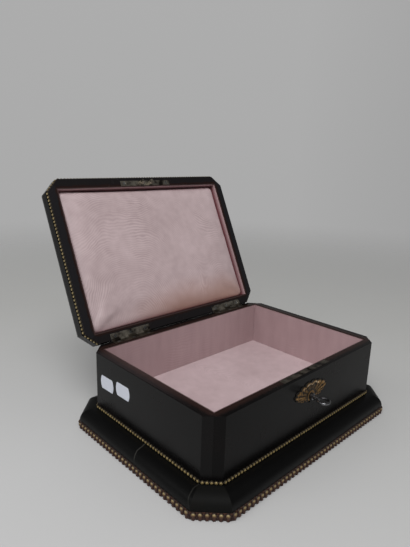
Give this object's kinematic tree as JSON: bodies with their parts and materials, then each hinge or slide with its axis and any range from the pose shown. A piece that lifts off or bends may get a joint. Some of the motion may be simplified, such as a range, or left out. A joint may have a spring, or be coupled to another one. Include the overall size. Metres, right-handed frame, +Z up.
{
  "type": "stationery box",
  "caption": "Ebonised stationery box with cut corners, moulded plinth, beaded edging, silk-lined inside, hinged lid with a padded cushion, and a working box lock with its key.",
  "frame": {"origin": "on the table under the middle of the case", "axes": "+Z up, -Y towards the lock side, +Y towards the hinges, +X to the right seen from the lock side"},
  "size_m": [0.3452, 0.3511, 0.2871],
  "materials": {
    "ebonised_wood": "satin ebonised",
    "brown_wood": "dark stained",
    "brass": "worn gilt",
    "steel": "dulled",
    "silk": "watered silk"
  },
  "bodies": {
    "case": {"base_board": "brown_wood", "floor_board": "brown_wood", "wall_front": "ebonised_wood", "wall_back": "ebonised_wood", "wall_left": "ebonised_wood", "wall_right": "ebonised_wood", "plinth_front": "ebonised_wood", "plinth_back": "ebonised_wood", "plinth_left": "ebonised_wood", "plinth_right": "ebonised_wood", "plinth_corners": "ebonised_wood", "beading_base": "brass", "beading_case": "brass", "lining_front": "silk", "lining_back": "silk", "lining_left": "silk", "lining_right": "silk", "lining_floor": "silk", "hinge_leaves_case": "brass", "hinge_pins": "steel", "hinge_screws_case": "steel", "lock_case": "brass", "lock_cap": "brass", "lock_studs": "steel", "lock_drill_pin": "steel", "lock_spring": "steel", "lock_screws": "steel", "escutcheon": "brass", "escutcheon_pins": "brass"},
    "bolt": {"lock_bolt": "steel"},
    "key": {"key": "steel"},
    "lid": {"lid_rail_front": "ebonised_wood", "lid_rail_back": "ebonised_wood", "lid_rail_left": "ebonised_wood", "lid_rail_right": "ebonised_wood", "lid_moulding_front": "ebonised_wood", "lid_moulding_back": "ebonised_wood", "lid_moulding_left": "ebonised_wood", "lid_moulding_right": "ebonised_wood", "lid_moulding_corners": "ebonised_wood", "lid_panel": "ebonised_wood", "beading_lid": "brass", "lid_lining": "silk", "lid_pad_board": "silk", "lid_pad": "silk", "hinge_leaves_lid": "brass", "hinge_screws_lid": "steel", "strike_plate": "brass", "strike_screws": "steel"}
  },
  "joints": [
    {"name": "lid_hinge", "type": "hinge", "parent": "case", "child": "lid", "pos_m": [0, 0.107, 0.0942], "axis": [1, 0, 0], "range_deg": [0, 115.5]},
    {"name": "key_turn", "type": "hinge", "parent": "case", "child": "key", "pos_m": [0, -0.106, 0.0675], "axis": [0, 1, 0], "range_deg": [0, 360]},
    {"name": "bolt_slide", "type": "slide", "parent": "case", "child": "bolt", "axis": [1, 0, 0], "range_m": [0, 0.0065]}
  ],
  "couplings": [
    {"joint": "bolt_slide", "follows": "key_turn", "m_per_rad": 0.0010345}
  ]
}
